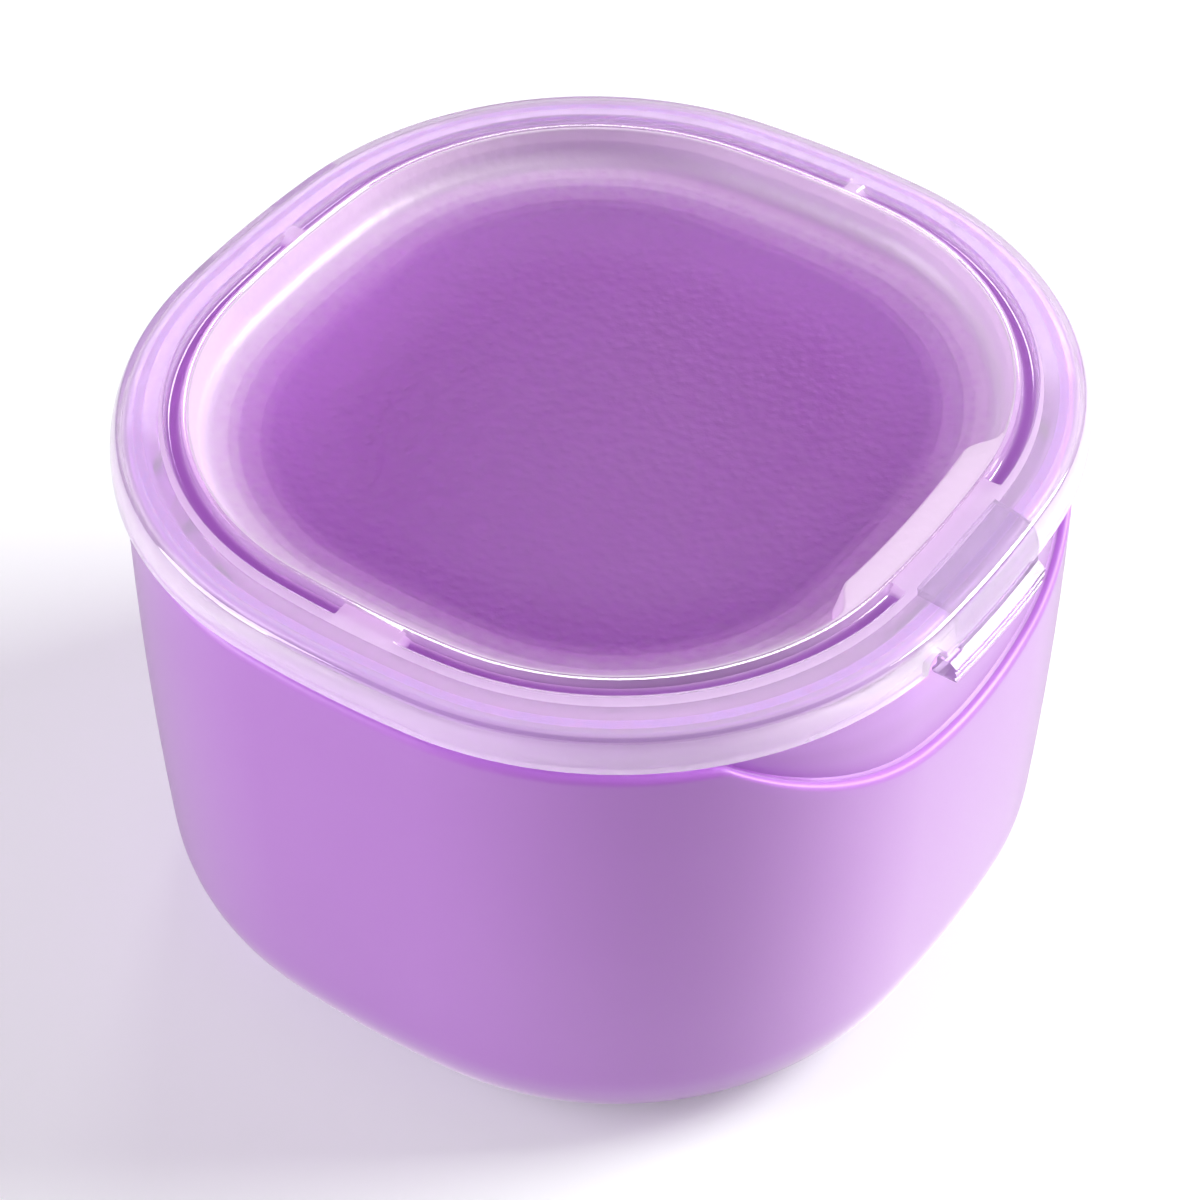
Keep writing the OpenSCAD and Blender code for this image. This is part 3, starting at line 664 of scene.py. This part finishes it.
def bandSection():
    # up the skirt, over the crease and the crown with its groove, and back under the band
    c = lidSize
    leanX, leanZ = -c["skirtR"], c["rimZ"] + c["skirtFlat"]
    crownX, crownZ = -c["crownInset"], c["rimZ"] + c["crownH"] - c["crownR"]
    # the crease is an arc tangent inside both the skirt's and the crown's circles
    ra, rb = c["crownR"] - c["creaseR"], c["skirtR"] - c["creaseR"]
    dx, dz = leanX - crownX, leanZ - crownZ
    n = math.hypot(dx, dz)
    k = (ra * ra - rb * rb + n * n) / (2 * n)
    h = math.sqrt(ra * ra - k * k)
    x, z = crownX + dx * k / n + dz * h / n, crownZ + dz * k / n - dx * h / n
    toe = math.degrees(math.atan2(z - leanZ, x - leanX))
    top = math.degrees(math.atan2(z - crownZ, x - crownX))
    points = [(0, c["rimZ"] + 0.15, 0)] + [(px, pz, 0) for px, pz in arc(leanX, leanZ, c["skirtR"], 0, toe, 12)]
    crease = range(len(points), len(points) + 6)
    points += [(px, pz, 0) for px, pz in arc(x, z, c["creaseR"], toe, top, 8)[1:]]

    def crown(px):
        return crownZ + math.sqrt(c["crownR"] ** 2 - (px - crownX) ** 2)

    g, half, depth = -c["grooveInset"], c["grooveHalf"], c["grooveDepth"]
    start, steps = points[-1][0], 14
    across = [start + (g + half - start) * i / steps for i in range(1, steps)]
    points += [(px, crown(px), 0) for px in across]
    # the groove's own section: share of its half width, share of its depth
    flank = [(1, 0), (0.96, 0.25), (0.9, 0.55), (0.78, 0.85), (0.55, 0.98), (0.25, 1.0)]
    for share, sunk in flank + [(-share, sunk) for share, sunk in reversed(flank)]:
        points.append((g + half * share, crown(g + half * share), -depth * sunk))
    panelZ = c["rimZ"] + c["crownH"] - c["panelDrop"]
    points += [(px, crown(px), 0) for px in (g - half - 0.1, g - half - 0.2, -c["split"] + 0.25)]
    points += [(-c["split"] + 0.1, crown(-7.9) - 0.03, 0), (-c["split"], panelZ - 0.05, 0)]
    under = c["rimZ"] + c["under"]
    points += [(-c["split"], under, 0), (-5.0, under, 0), (-c["skirtT"] - 0.6, under, 0)]
    points += [(px, pz, 0) for px, pz in arc(-c["skirtT"] - 0.6, under - 0.6, 0.6, 80, 0, 6)]
    points += [(-c["skirtT"], c["rimZ"] + 0.15, 0), (-c["skirtT"] + 0.15, c["rimZ"], 0), (-0.15, c["rimZ"], 0)]
    points.append(points[0])
    # the crease gets painted shade, a thin dark purple line along it
    return [(px, pz, 0, 0, dig, 0.45 if i in crease else 0) for i, (px, pz, dig) in enumerate(points)]


def grooveMask():
    # 1 where the groove runs and 0 at its breaks, with a short slope at each end
    values = []
    halfEnd, farOut = 20, 30  # the stretch of the outline that counts as its front or back
    for x, y, nx, ny in pathPoints:
        gx, gy = x - nx * lidSize["grooveInset"], y - ny * lidSize["grooveInset"]
        side = "right" if gx > 0 else "left"
        if abs(gy) > farOut and abs(gx) < halfEnd:
            side = "back" if gy > 0 else "front"
        at = gx if side in ("front", "back") else gy
        low, high = grooveBreaks[side]
        away = max(low - at, at - high, 0)
        share = min(1, away / lidSize["grooveEnd"])
        values.append(share * share * (3 - 2 * share))
    return values


def panelSection():
    # from the middle of the dish out to the recess wall and its rim, and back under the plug
    c, inner = lidSize, -outlineSize["inner"]
    edgeZ = c["rimZ"] + c["panelH"]
    dishLow = edgeZ - c["sag"]
    lean = math.degrees(math.atan2(c["wallRise"], c["wallRun"]))
    footX = -c["split"] - 0.8 - c["recessR"] * math.sin(math.radians(lean))
    footZ = edgeZ + c["recessR"]
    rise, run = c["sag"] + c["recessR"], footX - inner
    dishR = (run * run + rise * rise - c["recessR"] ** 2) / (2 * (rise - c["recessR"]))
    dishZ = dishLow + dishR
    join = math.degrees(math.atan2(footZ - dishZ, run))
    points = [(inner, dishLow, drawn) for drawn in (1, 0.75, 0.5, 0.25)]
    points += [(px, pz, 0) for px, pz in arc(inner, dishZ, dishR, -90, join, 14)]
    points += [(px, pz, 0) for px, pz in arc(footX, footZ, c["recessR"], join, lean - 90, 16)[1:]]
    topZ = c["rimZ"] + c["crownH"] - c["panelDrop"]
    wallX0, wallZ0 = points[-1][:2]
    climb = topZ - c["edgeR"] - wallZ0
    points += [(wallX0 + climb * i / 4 / math.tan(math.radians(lean)), wallZ0 + climb * i / 4, 0)
               for i in range(1, 5)]
    endX = points[-1][0]
    points += [(endX + 0.03, topZ - 0.14, 0), (endX + 0.1, topZ - 0.04, 0), (endX + 0.2, topZ, 0)]
    out, under = -c["split"] + c["overlap"], c["rimZ"] + c["under"] + c["overlap"]
    low = c["rimZ"] - c["panelUnder"]
    points += [(out, topZ, 0), (out, under, 0), (-5.2, under, 0)]
    plugX = -c["plugInset"] - c["plugR"]
    points += [(px, pz, 0) for px, pz in arc(plugX, low + c["plugR"], c["plugR"], 0, -90, 10)]
    points += [(inner, low, 0), (inner, low, 0.5), (inner, low, 1)]
    return [(px, pz, drawn, 0, 0) for px, pz, drawn in points]


def landRings():
    # raised land behind the tab, running out into the recess wall at both ends
    c = landSize
    top, reach, outer = lidSize["rimZ"] + lidSize["crownH"] - c["drop"], c["half"] + c["run"], 8.1
    rings, steps = [], 60
    for i in range(steps + 1):
        x = -reach + 2 * reach * i / steps
        share = min(1, max(0, (reach - abs(x)) / c["slope"]))
        inner = c["endInset"] + (c["inset"] - c["endInset"]) * share * share * (3 - 2 * share)
        section = [(outer, c["low"]), (outer, top), (inner - 0.3, top), (inner - 0.1, top - 0.06),
                   (inner + 0.02, top - 0.22), (inner + 0.5, c["low"] + 2), (inner + 1.0, c["low"])]
        rings.append([(x, -frontY(x, inset), z) for inset, z in section])
    return rings


def knuckleRing(x):
    # a neck down from under the band, round the pin and back up
    rim = lidSize["rimZ"]
    ring = [(45.3, rim + 2.6), (45.3, rim - 0.6), (45.15, rim - 2.6)]
    ring += arc(cupSize["axisY"], cupSize["axisZ"], cupSize["knuckleR"], 163, 382, 28)
    ring += [(47.3, rim - 1.2), (46.9, rim - 0.4), (46.6, rim + 0.6), (46.4, rim + 2.6)]
    return [(x, y, z) for y, z in ring]


bandPiece = swept("clearBand", bandSection(), finishes["lid_band"], dug=grooveMask())
# the window for the tab, and the notch to the left of it
c = lidSize
front, below, above = -60, 50, 75  # well outside the lid
tabBack = -halfDepth + c["tabInset"] + c["tabGap"]
tabX = (c["tabLeft"] - c["tabGap"], c["tabRight"] + c["tabGap"])
tabSpace = loftedMesh("tabSpace", [[(x, front, below), (x, tabBack, below), (x, tabBack, above),
                                    (x, front, above)] for x in tabX], finishes["lid_band"])
notchRing = arc(c["notchX"], c["notchZ"], c["notchR"], 0, 180, 16)
notchRing += [(c["notchX"] - c["notchR"], 57), (c["notchX"] + c["notchR"], 57)]
notchSpace = loftedMesh("notchSpace", [[(x, y, z) for x, z in notchRing] for y in (front, -44.5)],
                        finishes["lid_band"])
bandPiece = cutAway(cutAway(bandPiece, tabSpace), notchSpace)
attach(bandPiece, "lid")
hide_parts("lid_band")
panelPiece = swept("frostedPanel", panelSection(), finishes["lid_panel"])
panelPiece.data.materials.clear()
for material in frostedSteps:
    panelPiece.data.materials.append(material)
for face in panelPiece.data.polygons:
    if face.normal.z > 0:
        face.material_index = sum(face.center.z > step[0] for step in frostLook["clarity"][1:])
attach(panelPiece, "lid")
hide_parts("lid_panel")
land = finished("frostedLand", loftedMesh("frostedLand", landRings(), frostedSteps[-1]), 40)
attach(land, "lid")
knuckleRings = [knuckleRing(x) for x in (-lidSize["knuckleHalf"], lidSize["knuckleHalf"])]
knuckle = finished("lidKnuckle", loftedMesh("lidKnuckle", knuckleRings, finishes["lid_band"]))
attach(knuckle, "lid")
print("lid made,", len(bandPiece.data.polygons) + len(panelPiece.data.polygons), "faces")


stageLook = {"size": 6.0, "white": (0.80, 0.83, 0.82, 1), "glow": 0.22, "fadeFrom": 0.35, "fadeTo": 0.9,
             "dim": (0.96, 0.8, 0.98, 1), "dimStrength": 0.23}
floorMesh = bpy.data.meshes.new("floor")
half = stageLook["size"] / 2
floorCorners = [(-half, -half, 0), (half, -half, 0), (half, half, 0), (-half, half, 0)]
floorMesh.from_pydata(floorCorners, [], [(0, 1, 2, 3)])
floorObject = bpy.data.objects.new("floor", floorMesh)
bpy.context.scene.collection.objects.link(floorObject)
floorMaterial, kit, out = newMaterial("paleFloor")
diffuse = kit.add("ShaderNodeBsdfDiffuse", {"Color": stageLook["white"]})
glow = kit.add("ShaderNodeEmission", {"Color": (1, 1, 1, 1), "Strength": stageLook["glow"]})
both = kit.add("ShaderNodeAddShader", {0: diffuse.outputs[0], 1: glow.outputs[0]})
# far from the object the floor turns into the white of the background
floorCoords = kit.add("ShaderNodeTexCoord")
away = kit.add("ShaderNodeVectorMath", {0: floorCoords.outputs["Object"]}, operation="LENGTH")
fade = kit.add("ShaderNodeMapRange", {"Value": away.outputs["Value"], "From Min": stageLook["fadeFrom"],
                                     "From Max": stageLook["fadeTo"]}, interpolation_type="SMOOTHSTEP")
farWhite = kit.add("ShaderNodeEmission", {"Color": (1, 1, 1, 1), "Strength": 1.0})
faded = kit.add("ShaderNodeMixShader", {0: fade.outputs[0], 1: both.outputs[0], 2: farWhite.outputs[0]})
rays = kit.add("ShaderNodeLightPath")
shown = kit.add("ShaderNodeMixShader", {0: rays.outputs["Is Camera Ray"], 1: diffuse.outputs[0],
                                       2: faded.outputs[0]})
kit.link(shown.outputs[0], out.inputs["Surface"])
floorMesh.materials.append(floorMaterial)

world = bpy.data.worlds.new("studio")
bpy.context.scene.world = world
world.use_nodes = True
world.node_tree.nodes.clear()
kit = Nodes(world.node_tree)
worldOut = kit.add("ShaderNodeOutputWorld")
dim = kit.add("ShaderNodeBackground", {"Color": stageLook["dim"], "Strength": stageLook["dimStrength"]})
white = kit.add("ShaderNodeBackground", {"Color": (1, 1, 1, 1), "Strength": 1.0})
rays = kit.add("ShaderNodeLightPath")
either = kit.add("ShaderNodeMath", {0: rays.outputs["Is Camera Ray"], 1: rays.outputs["Is Transmission Ray"]},
                 operation="MAXIMUM")
sky = kit.add("ShaderNodeMixShader", {0: either.outputs[0], 1: dim.outputs[0], 2: white.outputs[0]})
kit.link(sky.outputs[0], worldOut.inputs["Surface"])

aim = Vector((0, 0, 0.045))
lamps = {
    "keyRight": (46, 33, 0.9, 0.42, 10.4, (0.97, 1.0, 0.93)),
    "fillLeft": (-138, 20, 1.0, 0.6, 7.7, (0.99, 0.98, 1.0)),
    "glint": (124, 46, 1.0, 0.16, 0.8, (1.0, 1.0, 1.0)),
}
for name, (azimuth, elevation, distance, size, watts, colour) in lamps.items():
    light = bpy.data.lights.new(name, "AREA")
    light.shape = "SQUARE"
    light.size = size
    light.energy = watts
    light.color = colour
    lamp = bpy.data.objects.new(name, light)
    a, e = math.radians(azimuth), math.radians(elevation)
    towards = Vector((math.sin(a) * math.cos(e), -math.cos(a) * math.cos(e), math.sin(e)))
    lamp.location = aim + distance * towards
    lamp.rotation_euler = (lamp.location - aim).to_track_quat("Z", "Y").to_euler()
    bpy.context.scene.collection.objects.link(lamp)

view = {"place": (-0.21980, -0.14864, 0.29410), "right": (0.56072, -0.82800, -0.00066),
        "up": (0.58090, 0.39282, 0.71292), "back": (-0.59004, -0.40013, 0.70125),
        "lens": 104.62, "sensor": 36}
cameraData = bpy.data.cameras.new("camera")
cameraData.lens = view["lens"]
cameraData.sensor_width = view["sensor"]
cameraData.sensor_fit = "HORIZONTAL"
cameraData.clip_start = 0.01
camera = bpy.data.objects.new("camera", cameraData)
turn = Matrix((view["right"], view["up"], view["back"])).transposed().to_4x4()
camera.matrix_world = Matrix.Translation(view["place"]) @ turn
bpy.context.scene.collection.objects.link(camera)
bpy.context.scene.camera = camera
bpy.context.scene.view_settings.view_transform = "Standard"
print("stage, lights and camera set")

bpy.context.view_layer.update()
